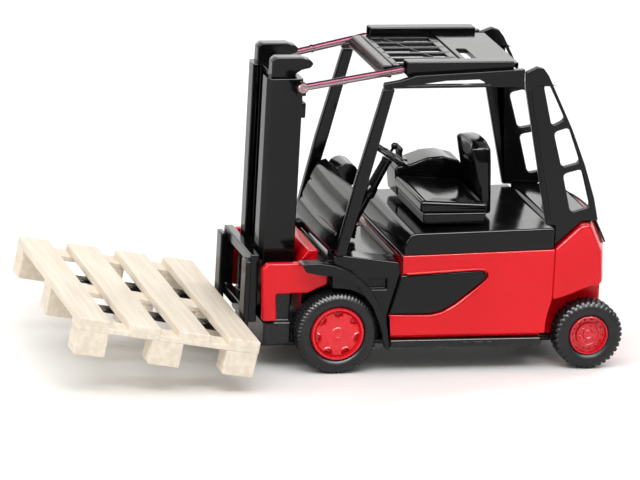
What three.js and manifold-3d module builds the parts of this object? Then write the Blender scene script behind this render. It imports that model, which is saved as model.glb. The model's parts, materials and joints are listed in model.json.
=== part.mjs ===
// Die-cast style toy forklift with a pallet on its forks.
// Millimetres. +X forward (forks), +Y to the vehicle's left, +Z up.
// Drawn from a point just ahead of the rear axle, on the ground; the whole toy is then moved
// along X so that the origin is the bottom centre of its outer box.
import * as THREE from "three";
import { mergeVertices } from "three/addons/utils/BufferGeometryUtils.js";
import Module from "manifold-3d";

const wasm = await Module();
wasm.setup();

// ---- driving dimensions -------------------------------------------------------------
const FRONT_AXLE_X = 36.1;
const REAR_AXLE_X = -0.4;
const HALF_WIDTH = 12.0; // outer face of the body sides
const FRONT_WHEEL = { radius: 5.8, rim: 3.84, inner: 8.0, outer: 12.0 };
const REAR_WHEEL = { radius: 4.93, rim: 2.85, inner: 8.6, outer: 12.1 };
const AXLE_RADIUS = 0.8;
const SLOT_GAP = 0.35; // running room round an axle or a pin
const PLATE = { bottom: 2.9, top: 3.8, sillBottom: 3.6, sillTop: 4.85, halfWidth: 7.2 };
const BODY_BOTTOM = 5.44;
const BODY_TOP = { front: 17.0, rear: 17.6 };
const BODY_REAR = 5.38; // crease between the body side and the counterweight
const DECK_TOP = 20.3;
const SEAM = 0.02; // hairline between castings that meet on a slanted line
const PIVOT = { x: 44.0, z: 10.0, pinRadius: 0.7 };
const MAST = { rear: 41.54, front: 46.5, inner: 2.84, outer: 5.96, bottom: 8.3, top: 39.9 };
const INNER_MAST = { rear: 42.65, front: 45.4, inner: 3.2, outer: 5.2, bottom: 12.2, top: 43.8 };
const CARRIAGE = { rear: 46.9, front: 48.2, halfWidth: 7.9, bottom: 6.6, top: 16.4 };
const FORK = { inner: 6.1, outer: 8.7, length: 23, shankFront: 49.0, shankTop: 15.6 };
const PALLET = { x: 49.35, z: 7.6, pitch: 9, length: 25.9, width: 41.4, height: 5.3 };
const ROD = { radius: 0.5, pin: [42.2, 8.6, 40.4], tip: [26.6, 10.1, 43.5] };
const ROOF = { halfWidth: 8.8, bottom: 42.95, top: 43.55, front: 29.55, mid: 19.2, rear: 11.5 };
const SEAT = { right: -4.8, left: 9.5, split: 22.45 }; // left of centre, beside its armrest
const STEERING = { centre: [26.7, 0, 28.3], tilt: 31, radius: 2.6 };
const BARREL = { front: 28.2, rear: 12.8, inner: 8.9, outer: 11.1, top: 44.5, bottom: 42.45 };

// ---- finishes -----------------------------------------------------------------------
const FINISH = {
  red: { color: 0xe0101c, roughness: 0.28, metalness: 0.0 },
  black: { color: 0x141416, roughness: 0.22, metalness: 0.0 },
  rubber: { color: 0x1d1d1f, roughness: 0.75, metalness: 0.0 },
  steel: { color: 0xa9a9ac, roughness: 0.35, metalness: 1.0 },
  plum: { color: 0x6b4a4c, roughness: 0.35, metalness: 0.7 },
  cream: { color: 0xe6dccb, roughness: 0.6, metalness: 0.0 },
};

// ---- helpers ------------------------------------------------------------------------
const X = new THREE.Vector3(1, 0, 0);
const Y = new THREE.Vector3(0, 1, 0);
const Z = new THREE.Vector3(0, 0, 1);
const PLANES = {
  XZ: new THREE.Matrix4().makeBasis(X, Z, Y.clone().negate()), // extrudes towards -Y
  XY: new THREE.Matrix4().makeBasis(X, Y, Z),
  YZ: new THREE.Matrix4().makeBasis(Y, Z, X),
};

function shapeOf(points, holes = []) {
  const shape = new THREE.Shape(points.map(([u, v]) => new THREE.Vector2(u, v)));
  for (const hole of holes) {
    shape.holes.push(new THREE.Path(hole.map(([u, v]) => new THREE.Vector2(u, v))));
  }
  return shape;
}

// A prism: an outline in one plane, drawn out between two levels of the third axis.
function prism(plane, points, from, to, holes = []) {
  const depth = to - from;
  const geometry = new THREE.ExtrudeGeometry(shapeOf(points, holes), {
    depth,
    bevelEnabled: false,
  });
  geometry.applyMatrix4(PLANES[plane]);
  if (plane === "XZ") return geometry.translate(0, to, 0);
  if (plane === "XY") return geometry.translate(0, 0, from);
  return geometry.translate(from, 0, 0);
}

function box(x0, x1, y0, y1, z0, z1) {
  const geometry = new THREE.BoxGeometry(x1 - x0, y1 - y0, z1 - z0);
  return geometry.translate((x0 + x1) / 2, (y0 + y1) / 2, (z0 + z1) / 2);
}

// A round bar along Y.
function barY(x, z, radius, y0, y1, sides = 20) {
  const geometry = new THREE.CylinderGeometry(radius, radius, y1 - y0, sides);
  return geometry.translate(x, (y0 + y1) / 2, z);
}

// A round bar between two points.
function bar(from, to, radius, sides = 14) {
  const a = new THREE.Vector3(...from);
  const b = new THREE.Vector3(...to);
  const length = a.distanceTo(b);
  const geometry = new THREE.CylinderGeometry(radius, radius, length, sides);
  const turn = new THREE.Quaternion().setFromUnitVectors(Y, b.clone().sub(a).normalize());
  geometry.applyQuaternion(turn);
  const middle = a.add(b).multiplyScalar(0.5);
  return geometry.translate(middle.x, middle.y, middle.z);
}

// A turned ring or disc about an axle along Y; the profile is [radius, y] pairs.
function turned(profile, x, z, segments = 40) {
  const points = profile.map(([r, y]) => new THREE.Vector2(r, y));
  return new THREE.LatheGeometry(points, segments).translate(x, 0, z);
}

function toSolid(geometry) {
  const bare = geometry.index ? geometry.toNonIndexed() : geometry.clone();
  bare.deleteAttribute("normal");
  bare.deleteAttribute("uv");
  const merged = mergeVertices(bare, 1e-4);
  const vertProperties = new Float32Array(merged.attributes.position.array);
  const triVerts = new Uint32Array(merged.index.array);
  return new wasm.Manifold(new wasm.Mesh({ numProp: 3, vertProperties, triVerts }));
}

function fromSolid(solid) {
  const mesh = solid.getMesh();
  const geometry = new THREE.BufferGeometry();
  geometry.setAttribute("position", new THREE.BufferAttribute(mesh.vertProperties, 3));
  geometry.setIndex(new THREE.BufferAttribute(mesh.triVerts, 1));
  geometry.computeVertexNormals();
  return geometry;
}

function join(...geometries) {
  return fromSolid(geometries.map(toSolid).reduce((sum, next) => sum.add(next)));
}

function cut(geometry, ...tools) {
  return fromSolid(tools.map(toSolid).reduce((rest, tool) => rest.subtract(tool), toSolid(geometry)));
}

// Lean a shape sideways: y grows by slope for each millimetre of the given axis past start.
function lean(geometry, axis, start, slope) {
  const position = geometry.attributes.position;
  for (let i = 0; i < position.count; i += 1) {
    const along = axis === "x" ? position.getX(i) : position.getZ(i);
    position.setY(i, position.getY(i) + slope * (along - start));
  }
  return geometry;
}

// The same piece on the vehicle's right: mirrored in Y, with its faces turned back out.
function mirrored(geometry) {
  const copy = geometry.index ? geometry.toNonIndexed() : geometry.clone();
  copy.scale(1, -1, 1);
  for (const name of Object.keys(copy.attributes)) {
    const { array, itemSize } = copy.attributes[name];
    for (let face = 0; face < array.length; face += 3 * itemSize) {
      for (let k = 0; k < itemSize; k += 1) {
        const held = array[face + itemSize + k];
        array[face + itemSize + k] = array[face + 2 * itemSize + k];
        array[face + 2 * itemSize + k] = held;
      }
    }
  }
  return copy;
}

function arcPoints(cx, cz, radius, fromDegrees, toDegrees, steps) {
  return Array.from({ length: steps + 1 }, (_, i) => {
    const angle = THREE.MathUtils.degToRad(fromDegrees + ((toDegrees - fromDegrees) * i) / steps);
    return [cx + radius * Math.cos(angle), cz + radius * Math.sin(angle)];
  });
}

// An outline with each corner rounded off by a short curve.
function roundedOutline(corners, radius, steps = 3) {
  const points = [];
  corners.forEach((corner, i) => {
    const here = new THREE.Vector2(...corner);
    const before = new THREE.Vector2(...corners.at(i - 1));
    const after = new THREE.Vector2(...corners[(i + 1) % corners.length]);
    const start = here.clone().add(before.sub(here).setLength(radius));
    const end = here.clone().add(after.sub(here).setLength(radius));
    const curve = new THREE.QuadraticBezierCurve(start, here, end);
    for (const p of curve.getPoints(steps)) points.push([p.x, p.y]);
  });
  return points;
}

// Join a row of matching closed outlines, each counter-clockwise in X and Z and set out
// along +Y, into one body with flat end caps.
function loft(slices) {
  const count = slices[0].length;
  const vertices = slices.flat(2);
  const index = [];
  for (let s = 0; s + 1 < slices.length; s += 1) {
    for (let i = 0; i < count; i += 1) {
      const a = s * count + i;
      const b = s * count + ((i + 1) % count);
      index.push(a, a + count, b, b, a + count, b + count);
    }
  }
  const cap = THREE.ShapeUtils.triangulateShape(
    slices[0].map(([x, , z]) => new THREE.Vector2(x, z)),
    [],
  );
  const last = (slices.length - 1) * count;
  for (const [a, b, c] of cap) {
    index.push(a, b, c);
    index.push(last + a, last + c, last + b);
  }
  const geometry = new THREE.BufferGeometry();
  geometry.setAttribute("position", new THREE.Float32BufferAttribute(vertices, 3));
  geometry.setIndex(index);
  geometry.computeVertexNormals();
  return geometry;
}

// ---- chassis ------------------------------------------------------------------------
function basePlate() {
  const spine = box(-1.8, 46.2, -PLATE.halfWidth, PLATE.halfWidth, PLATE.bottom, PLATE.top);
  const sill = box(6.6, 28.6, -HALF_WIDTH, HALF_WIDTH, PLATE.sillBottom, PLATE.sillTop);
  const nose = box(42.25, 46.2, -9.4, 9.4, PLATE.bottom + 0.9, 7.0);
  const cheek = box(42.25, 46.0, 6.6, 8.6, 6.9, 12.0);
  return join(spine, sill, nose, cheek, mirrored(cheek));
}

function chassisBox() {
  const outline = [
    [28.95, PLATE.top],
    [40.4, PLATE.top],
    [40.4, 15.2],
    [28.95, 15.2],
  ];
  const body = prism("XZ", outline, -PLATE.halfWidth, PLATE.halfWidth);
  const room = AXLE_RADIUS + SLOT_GAP;
  const slotTop = FRONT_WHEEL.radius + room;
  const slot = box(FRONT_AXLE_X - room, FRONT_AXLE_X + room, -8, 8, 3, slotTop);
  return cut(body, slot);
}

const SIDE_PANEL = [
  [28.95, 8.35],
  [22.9, 8.35],
  [21.2, 8.8],
  [19.5, 9.8],
  [15.3, 13.1],
  [14.8, 13.8],
  [14.9, 14.4],
  [15.6, 14.85],
  [27.4, 14.3],
];
const PANEL_DEPTH = 0.6;

function bodyShell() {
  const outline = [
    [28.7, BODY_BOTTOM],
    [28.95, 8.35],
    [27.4, 14.3],
    [27.5, BODY_TOP.front],
    [BODY_REAR, BODY_TOP.rear],
    [BODY_REAR, 10.2],
    [5.65, 9.3],
    [5.9, 8.3],
    [6.1, 7.0],
    [6.15, BODY_BOTTOM],
  ];
  const skirt = box(6.7, 28.5, -11.2, 11.2, PLATE.sillTop + SEAM, BODY_BOTTOM + 0.1);
  const shell = join(prism("XZ", outline, -HALF_WIDTH, HALF_WIDTH), skirt);
  const pocket = SIDE_PANEL.map(([x, z]) => [x > 27.3 ? x + 0.3 : x, z]);
  const left = prism("XZ", pocket, HALF_WIDTH - PANEL_DEPTH, HALF_WIDTH + 0.5);
  const upstandRoom = box(26.0, 28, -11.05, 11.05, 14.35, 18);
  return cut(shell, left, mirrored(left), upstandRoom);
}

// The panel is a little smaller than its pocket, except at its open front end.
function sidePanel() {
  const middle = [21.8, 11.6];
  const shrink = 0.95;
  const outline = SIDE_PANEL.map(([x, z]) => [
    x > 27.3 ? x : middle[0] + (x - middle[0]) * shrink,
    middle[1] + (z - middle[1]) * shrink,
  ]);
  return prism("XZ", outline, HALF_WIDTH - PANEL_DEPTH, HALF_WIDTH - 0.1);
}

// The tail bulges rearwards in plan and narrows a little behind the crease.
const TAIL_BULGE = 2.5;

function tailOffset(share) {
  return TAIL_BULGE * (1 - share * share);
}

function counterweight() {
  const narrowing = 0.008;
  const shares = [-1, -0.85, -0.6, -0.3, 0, 0.3, 0.6, 0.85, 1];
  const slices = shares.map((share) => {
    const out = tailOffset(share);
    const side = [
      [BODY_REAR, BODY_TOP.rear],
      [1.5, 20.95],
      [0.4 - out, 20.95],
      [-1.6 - out, 16.9],
      [-1.9 - out, 12.2],
      [-0.3, 11.85],
      [1.2, 11.4],
      [2.6, 10.85],
      [4.0, 10.45],
      [BODY_REAR, 10.2],
    ];
    return side.map(([x, z]) => [x, share * HALF_WIDTH * (1 - narrowing * (BODY_REAR - x)), z]);
  });
  const tail = loft(slices);
  const block = box(-3.2, BODY_REAR, -6.8, 6.8, PLATE.top, 12.0);
  const room = AXLE_RADIUS + SLOT_GAP;
  const slot = box(REAR_AXLE_X - room, REAR_AXLE_X + room, -7, 7, 3, REAR_WHEEL.radius + room);
  return cut(join(tail, block), slot);
}

// Thin cover lying on the middle of the tail's sloping rear face.
function tailCover() {
  const slope = new THREE.Vector2(-2.0, -4.05);
  const outward = new THREE.Vector2(slope.y, -slope.x).normalize();
  const ends = [0.03, 0.95];
  const slices = [-0.6, -0.4, -0.2, 0, 0.2, 0.4, 0.6].map((share) => {
    const corner = (along, lift) => [
      0.4 - tailOffset(share) + slope.x * along + outward.x * lift,
      share * HALF_WIDTH,
      20.95 + slope.y * along + outward.y * lift,
    ];
    return [corner(ends[0], 0.35), corner(ends[1], 0.35), corner(ends[1], 0.06), corner(ends[0], 0.06)];
  });
  return loft(slices);
}

function deck() {
  const outline = [
    [27.3, BODY_TOP.front + SEAM],
    [27.1, 18.9],
    [26.4, 20.0],
    [25.7, DECK_TOP - 0.1],
    [5.6, DECK_TOP + 0.4],
    [5.6, BODY_TOP.rear + SEAM],
  ];
  const tray = [
    [6.0, 20.6],
    [5.6, 21.3],
    [-1.2, 21.3],
    [-1.2, 21.0],
    [1.52, 21.0],
    [5.45, 17.65],
    [6.0, 17.65],
  ];
  return join(prism("XZ", outline, -HALF_WIDTH, HALF_WIDTH), prism("XZ", tray, -9.7, 9.7));
}

// Step side, wheel-arch liner and door sill on one side of the cab.
function stepSide() {
  const arch = arcPoints(FRONT_AXLE_X, FRONT_WHEEL.radius, 6.4, 180, 92, 7);
  const outline = [
    [28.75, BODY_BOTTOM],
    ...arch,
    [37.2, 12.3],
    [37.2, 17.0],
    [36.5, 17.1],
    [27.6, 15.9],
    [27.46, 14.3],
    [29.0, 8.36],
  ];
  const side = prism("XZ", outline, 7.6, 11.38);
  const tread = box(29.3, 31.9, 10.5, 11.6, 12.0, 13.6);
  return cut(side, tread);
}

function cabFloor() {
  const floor = box(27.3, 37.2, -7.5, 7.5, 15.3, 16.0);
  const upstand = box(27.0, 27.4, -11, 11, 14.4, BODY_TOP.front - 0.03);
  return join(floor, upstand);
}

function fender() {
  const outline = [
    [42.0, 16.1],
    [41.2, 14.9],
    [39.2, 14.5],
    [36.2, 14.15],
    [33.8, 12.8],
    [31.5, 9.9],
    [30.15, 7.0],
    [29.35, 3.75],
    [28.75, 3.5],
    [28.75, 4.2],
    [29.3, 7.2],
    [30.4, 10.0],
    [32.0, 12.6],
    [34.4, 14.7],
    [37.3, 15.85],
    [39.5, 16.2],
  ];
  const lip = prism("XZ", outline.toReversed(), 11.4, 12.4);
  const flatTop = [
    [37.4, 15.4],
    [41.6, 15.5],
    [42.0, 16.1],
    [39.5, 16.2],
    [37.4, 15.9],
  ];
  return join(lip, prism("XZ", flatTop, 10.1, 11.5));
}

function frontBulkhead() {
  const outline = [
    [40.5, 7.2],
    [40.95, 15.4],
    [39.9, 16.9],
    [38.5, 16.9],
    [38.5, 15.3],
    [40.5, 15.3],
  ];
  return prism("XZ", outline.toReversed(), -7.8, 7.8);
}

function frontBracket() {
  const outline = [
    [46.5, 7.3],
    [46.9, 14.8],
    [46.1, 15.6],
    [41.2, 15.6],
    [37.5, 15.3],
    [37.5, 12.5],
    [40.2, 11.3],
    [44.8, 11.2],
    [44.5, 7.3],
  ];
  return prism("XZ", outline, 8.7, 10.0);
}

function mastPin() {
  return barY(PIVOT.x, PIVOT.z, PIVOT.pinRadius, -6.6, 6.6, 16);
}

// ---- cab ----------------------------------------------------------------------------
function hood() {
  const outline = [
    [38.0, 17.2],
    [37.1, 19.0],
    [35.7, 23.2],
    [35.0, 25.2],
    [33.9, 25.4],
    [33.6, 24.2],
    [34.6, 20.5],
    [35.9, 17.2],
  ];
  return prism("XZ", outline, -9.9, 9.9);
}

function instrumentConsole() {
  const drum = barY(31.6, 24.2, 1.75, -9.4, -4.6, 16);
  const footOutline = [
    [30.6, 16.02],
    [33.2, 16.02],
    [32.5, 24.0],
    [30.9, 24.0],
  ];
  return join(drum, prism("XZ", footOutline, -7.4, -5.4));
}

function steeringColumn() {
  const boot = new THREE.CylinderGeometry(0.9, 1.5, 1.6, 14).rotateX(Math.PI / 2);
  return join(bar([32.6, 0, 17.2], [27.1, 0, 27.85], 0.8, 12), boot.translate(32.5, 0, 16.82));
}

function steeringWheel() {
  const tilt = THREE.MathUtils.degToRad(-STEERING.tilt);
  const ring = new THREE.TorusGeometry(STEERING.radius, 0.36, 6, 24);
  const spokes = [90, 210, 330].map((degrees) => {
    const angle = THREE.MathUtils.degToRad(degrees);
    return bar([0, 0, -0.15], [2.55 * Math.cos(angle), 2.55 * Math.sin(angle), 0], 0.3, 8);
  });
  const hub = new THREE.CylinderGeometry(0.75, 0.85, 0.9, 16).rotateX(Math.PI / 2);
  const knobAngle = THREE.MathUtils.degToRad(-105);
  const knobFoot = [Math.cos(knobAngle) * STEERING.radius, Math.sin(knobAngle) * STEERING.radius];
  const knob = new THREE.SphereGeometry(0.5, 10, 8).translate(...knobFoot, 1.2);
  const stalk = bar([...knobFoot, 0], [...knobFoot, 1.2], 0.22, 8);
  const wheel = join(ring, ...spokes, hub, knob, stalk);
  return wheel.rotateY(tilt).translate(...STEERING.centre);
}

function seatBase() {
  const outline = [
    [15.0, DECK_TOP + 0.45],
    [24.0, DECK_TOP + 0.45],
    [24.1, SEAT.split - 0.05],
    [15.0, SEAT.split - 0.05],
  ];
  return prism("XZ", outline, SEAT.right + 0.1, SEAT.left - 0.1);
}

function seatCushion() {
  const outline = [
    [14.9, SEAT.split],
    [23.7, SEAT.split],
    [24.4, 22.9],
    [24.5, 23.6],
    [24.1, 24.1],
    [23.2, 24.2],
    [15.3, 23.2],
  ];
  return prism("XZ", outline, SEAT.right, SEAT.left);
}

function seatBack() {
  const outline = [
    [12.9, 20.85],
    [14.6, 20.85],
    [14.9, 24.3],
    [16.0, 27.6],
    [16.5, 29.4],
    [16.2, 30.5],
    [15.3, 31.1],
    [14.2, 30.9],
    [13.4, 29.9],
  ];
  return prism("XZ", outline, SEAT.right + 0.6, SEAT.left - 4.6);
}

// Right-hand armrest console that carries the control levers.
function armrest() {
  const outline = [
    [13.4, 20.85],
    [24.0, 20.85],
    [24.5, 24.6],
    [24.2, 25.3],
    [22.2, 25.6],
    [19.8, 26.5],
    [17.6, 26.7],
    [15.2, 26.1],
    [14.0, 24.8],
  ];
  return prism("XZ", outline, -10.4, SEAT.right - 0.2);
}

// Three short control levers on one foot, at the front of the armrest.
function leverBlock() {
  const foot = box(22.4, 24.1, -9.4, -6.2, 25.65, 26.0);
  const levers = [-8.9, -7.8, -6.7].flatMap((y) => [
    bar([23.2, y, 25.8], [23.5, y, 27.2], 0.22, 8),
    new THREE.SphereGeometry(0.42, 8, 6).translate(23.5, y, 27.3),
  ]);
  return join(foot, ...levers);
}

// ---- overhead guard -----------------------------------------------------------------
function frontPillar() {
  const outline = [
    [35.7, 17.15],
    [37.1, 17.15],
    [34.75, 28.1],
    [31.5, 40.9],
    [29.95, 40.9],
    [32.9, 28.1],
  ];
  return lean(prism("XZ", outline, 10.9, 12.1), "z", 17, -0.004);
}

function frontBeam() {
  return prism(
    "XZ",
    [
      [29.7, 41.7],
      [31.3, 41.9],
      [30.9, 43.5],
      [29.6, 43.5],
    ],
    -8.85,
    8.85,
  );
}

function sideBeam() {
  const outline = [
    [11.5, 41.1],
    [31.6, 41.0],
    [31.5, 41.7],
    [29.2, 42.1],
    [27.1, 42.8],
    [17.0, 43.3],
    [11.5, 43.6],
  ];
  const slit = [
    [27.4, 41.45],
    [16.6, 41.5],
    [18.0, 42.2],
    [22.7, 42.05],
  ];
  return prism("XZ", outline, 11.15, 12.15, [slit]);
}

function rodBarrel() {
  const outer = box(BARREL.rear, BARREL.front, BARREL.inner, BARREL.outer, BARREL.bottom, BARREL.top);
  const wall = 0.25;
  const bore = box(
    23.4,
    BARREL.front + 1,
    BARREL.inner + wall,
    BARREL.outer - wall,
    BARREL.bottom - 1,
    BARREL.top - wall,
  );
  return cut(outer, bore);
}

function roofGrid() {
  const bars = [-7.4, -4.4, -1.4, 1.6, 4.6, 7.6].map((y) =>
    box(ROOF.mid - 0.1, ROOF.front, y - 0.38, y + 0.38, ROOF.bottom, ROOF.top),
  );
  const rearTie = box(ROOF.mid, ROOF.mid + 1.2, -ROOF.halfWidth, ROOF.halfWidth, ROOF.bottom, ROOF.top);
  const frontTie = box(28.6, ROOF.front, -ROOF.halfWidth, ROOF.halfWidth, ROOF.bottom, ROOF.top);
  const diagonal = bar([27.0, -7.4, 43.25], [22.4, 4.6, 43.25], 0.28, 6);
  return cut(join(...bars, rearTie, frontTie, diagonal), box(ROOF.mid - 1, ROOF.mid, -9, 9, 42, 44));
}

function roofRear() {
  const plate = box(ROOF.rear, ROOF.mid - 0.05, -ROOF.halfWidth, ROOF.halfWidth, 43.05, 43.75);
  const slot = roundedOutline(
    [
      [16.9, 0.4],
      [18.4, 0.4],
      [18.4, 7.4],
      [16.9, 7.4],
    ],
    0.6,
  );
  return cut(plate, prism("XY", slot, 42, 45));
}

// Slotted rear corner of the guard: door post, rear post and three windows between them.
function rearCorner() {
  const outline = [
    [-1.0, 21.35],
    [1.5, 21.35],
    [5.45, 18.0],
    [5.45, 20.95],
    [6.8, 20.95],
    [11.3, 41.0],
    [11.35, 43.2],
    [9.7, 43.9],
    [8.7, 43.6],
    [7.9, 42.6],
    [3.8, 34.7],
    [1.5, 29.4],
    [-0.2, 24.6],
  ];
  const windows = [
    [
      [5.0, 36.2],
      [7.0, 35.3],
      [8.6, 41.3],
      [7.7, 41.3],
    ],
    [
      [2.3, 29.9],
      [5.1, 29.3],
      [6.6, 34.4],
      [4.35, 35.0],
    ],
    [
      [0.35, 23.4],
      [3.3, 22.7],
      [4.8, 28.3],
      [2.0, 28.9],
    ],
  ];
  const holes = windows.map((corners) => roundedOutline(corners.toReversed(), 0.55, 2));
  return lean(prism("XZ", outline, 11.2, 12.1, holes), "x", 10, 0.13);
}

// ---- mast, forks and pallet ---------------------------------------------------------
function mastColumn() {
  const outline = [
    [MAST.rear, MAST.inner],
    [MAST.rear + 0.8, MAST.inner],
    [MAST.rear + 0.8, MAST.outer - 0.45],
    [MAST.front - 0.75, MAST.outer - 0.45],
    [MAST.front - 0.75, MAST.inner],
    [MAST.front, MAST.inner],
    [MAST.front, MAST.outer - 0.7],
    [MAST.front - 0.55, MAST.outer],
    [MAST.rear, MAST.outer],
  ];
  const column = prism("XY", outline, MAST.bottom, MAST.top);
  const lug = box(41.6, 42.9, MAST.outer - 0.2, 8.0, 39.0, 39.9);
  const ear = join(lug, barY(ROD.pin[0], 40.2, 0.75, 7.1, 8.0, 14));
  const hole = barY(PIVOT.x, PIVOT.z, PIVOT.pinRadius + SLOT_GAP, 5, 7, 16);
  return cut(join(column, ear), hole);
}

function mastFoot() {
  const foot = box(MAST.rear, MAST.front, -MAST.inner, MAST.inner, MAST.bottom, 11.6);
  return cut(foot, barY(PIVOT.x, PIVOT.z, PIVOT.pinRadius + SLOT_GAP, -4, 4, 16));
}

function mastCrosshead() {
  return box(40.75, MAST.rear, -5.4, 5.4, 35.2, 37.4);
}

function innerMast() {
  const outline = [
    [INNER_MAST.rear, INNER_MAST.bottom],
    [INNER_MAST.front, INNER_MAST.bottom],
    [INNER_MAST.front, 40.2],
    [45.85, 40.3],
    [45.85, INNER_MAST.top - 0.5],
    [45.3, INNER_MAST.top],
    [41.6, INNER_MAST.top],
    [40.4, 43.4],
    [39.9, 42.9],
    [40.3, 42.3],
    [41.6, 42.0],
    [42.3, 41.5],
    [42.8, 40.8],
    [42.8, 40.2],
    [INNER_MAST.rear, 40.2],
  ];
  return prism("XZ", outline, INNER_MAST.inner, INNER_MAST.outer);
}

function innerMastTie() {
  return box(44.2, INNER_MAST.front, -INNER_MAST.inner, INNER_MAST.inner, 40.4, 41.1);
}

function forkCarriage() {
  const w = CARRIAGE.halfWidth;
  const rim = [
    [-w, CARRIAGE.bottom],
    [w, CARRIAGE.bottom],
    [w, CARRIAGE.top],
    [-w, CARRIAGE.top],
  ];
  const opening = [
    [-6.6, 8.1],
    [-6.6, 14.8],
    [6.6, 14.8],
    [6.6, 8.1],
  ];
  const frame = prism("YZ", rim, CARRIAGE.rear, CARRIAGE.front, [opening]);
  const slider = box(42.9, CARRIAGE.rear + 0.2, -2.5, 2.5, 13.4, 16.2);
  return join(frame, slider);
}

// A point in the pitched plane of forks and pallet, from the pallet's top rear edge.
function pitched([along, up]) {
  const angle = THREE.MathUtils.degToRad(PALLET.pitch);
  return [
    PALLET.x + along * Math.cos(angle) - up * Math.sin(angle),
    PALLET.z + along * Math.sin(angle) + up * Math.cos(angle),
  ];
}

function forkTine() {
  const outline = [
    [CARRIAGE.front, 5.3],
    pitched([0.4, -2.5]),
    pitched([FORK.length, -1.95]),
    pitched([FORK.length + 0.4, -1.6]),
    pitched([0.1, -1.5]),
    [FORK.shankFront, 6.3],
    [FORK.shankFront, FORK.shankTop],
    [CARRIAGE.front, FORK.shankTop],
  ];
  return prism("XZ", outline, FORK.inner, FORK.outer);
}

function pallet() {
  const half = PALLET.width / 2;
  const deckThickness = 1.15;
  const boards = 4;
  const boardLength = 4.5;
  const step = (PALLET.length - boardLength) / (boards - 1);
  const pieces = [];
  for (let i = 0; i < boards; i += 1) {
    pieces.push(box(i * step, i * step + boardLength, -half, half, -deckThickness, 0));
  }
  const rows = [-half, -2, half - 4];
  for (const y of rows) {
    pieces.push(box(0, PALLET.length, y, y + 4, -1.85, -deckThickness + 0.05));
    for (const x of [0, (PALLET.length - 4.6) / 2, PALLET.length - 4.6]) {
      pieces.push(box(x, x + 4.6, y, y + 4, -PALLET.height, -1.8));
    }
  }
  return join(...pieces);
}

function tiltRod() {
  const eye = barY(ROD.pin[0], ROD.pin[2], 0.75, 8.1, 9.1, 14);
  return join(bar(ROD.pin, ROD.tip, ROD.radius, 14), eye);
}

// ---- wheels -------------------------------------------------------------------------
function tyre({ radius, rim, inner, outer }, x) {
  const seat = rim + 0.15;
  return turned(
    [
      [seat, inner],
      [radius - 0.9, inner],
      [radius, inner + 0.7],
      [radius, outer - 0.9],
      [radius - 0.45, outer - 0.2],
      [seat + 0.6, outer],
      [seat, outer - 0.35],
      [seat, inner],
    ],
    x,
    radius,
    48,
  );
}

function rim({ radius, rim: rimRadius, inner, outer }, x) {
  return turned(
    [
      [0, inner + 0.3],
      [rimRadius - 0.05, inner + 0.3],
      [rimRadius - 0.05, outer - 0.15],
      [rimRadius - 0.45, outer - 0.15],
      [rimRadius - 0.8, outer - 0.6],
      [1.1, outer - 0.6],
      [0.9, outer - 0.3],
      [0, outer - 0.3],
    ],
    x,
    radius,
    36,
  );
}

function axle(wheel, x) {
  return barY(x, wheel.radius, AXLE_RADIUS, -(wheel.inner + 0.3), wheel.inner + 0.3, 20);
}

// ---- assembly -----------------------------------------------------------------------
const toy = new THREE.Group();

function add(name, geometry, finish) {
  const mesh = new THREE.Mesh(geometry, new THREE.MeshStandardMaterial(FINISH[finish]));
  mesh.name = name;
  toy.add(mesh);
}

// The left piece as drawn, and its mirror image on the right.
function addPair(name, geometry, finish) {
  add(`${name}_left`, geometry, finish);
  add(`${name}_right`, mirrored(geometry), finish);
}

add("base_plate", basePlate(), "black");
add("chassis_box", chassisBox(), "black");
add("body_shell", bodyShell(), "red");
addPair("side_panel", sidePanel(), "black");
add("counterweight", counterweight(), "red");
add("tail_cover", tailCover(), "black");
add("deck", deck(), "black");
addPair("step_side", stepSide(), "black");
add("cab_floor", cabFloor(), "black");
addPair("fender", fender(), "black");
add("front_bulkhead", frontBulkhead(), "red");
addPair("front_bracket", frontBracket(), "red");
add("mast_pin", mastPin(), "steel");

add("hood", hood(), "black");
add("instrument_console", instrumentConsole(), "black");
add("steering_column", steeringColumn(), "black");
add("steering_wheel", steeringWheel(), "black");
add("seat_base", seatBase(), "black");
add("seat_cushion", seatCushion(), "black");
add("seat_back", seatBack(), "black");
add("armrest", armrest(), "black");
add("lever_block", leverBlock(), "black");

addPair("front_pillar", frontPillar(), "black");
add("roof_front_beam", frontBeam(), "black");
addPair("roof_side_beam", sideBeam(), "black");
addPair("rod_barrel", rodBarrel(), "black");
add("roof_grid", roofGrid(), "black");
add("roof_rear", roofRear(), "black");
addPair("rear_corner", rearCorner(), "black");

addPair("mast_column", mastColumn(), "black");
add("mast_foot", mastFoot(), "black");
add("mast_crosshead", mastCrosshead(), "black");
addPair("inner_mast", innerMast(), "black");
add("inner_mast_tie", innerMastTie(), "black");
add("fork_carriage", forkCarriage(), "black");
addPair("fork_tine", forkTine(), "black");
addPair("tilt_rod", tiltRod(), "plum");

const palletMesh = new THREE.Mesh(pallet(), new THREE.MeshStandardMaterial(FINISH.cream));
palletMesh.name = "pallet";
palletMesh.position.set(PALLET.x, 0, PALLET.z);
palletMesh.rotation.y = THREE.MathUtils.degToRad(-PALLET.pitch);
toy.add(palletMesh);

for (const [end, wheel, x] of [
  ["front", FRONT_WHEEL, FRONT_AXLE_X],
  ["rear", REAR_WHEEL, REAR_AXLE_X],
]) {
  add(`${end}_axle`, axle(wheel, x), "steel");
  addPair(`${end}_rim`, rim(wheel, x), "red");
  addPair(`${end}_tyre`, tyre(wheel, x), "rubber");
}

// Bring the origin to the bottom centre of the outer box.
toy.updateMatrixWorld(true);
const bounds = new THREE.Box3().setFromObject(toy);
const FRAME_SHIFT = -(bounds.min.x + bounds.max.x) / 2;
toy.position.x = Math.round(FRAME_SHIFT * 100) / 100;

export default toy;
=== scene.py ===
import json
import math

import bmesh
import bpy
from mathutils import Matrix, Vector, noise


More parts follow.
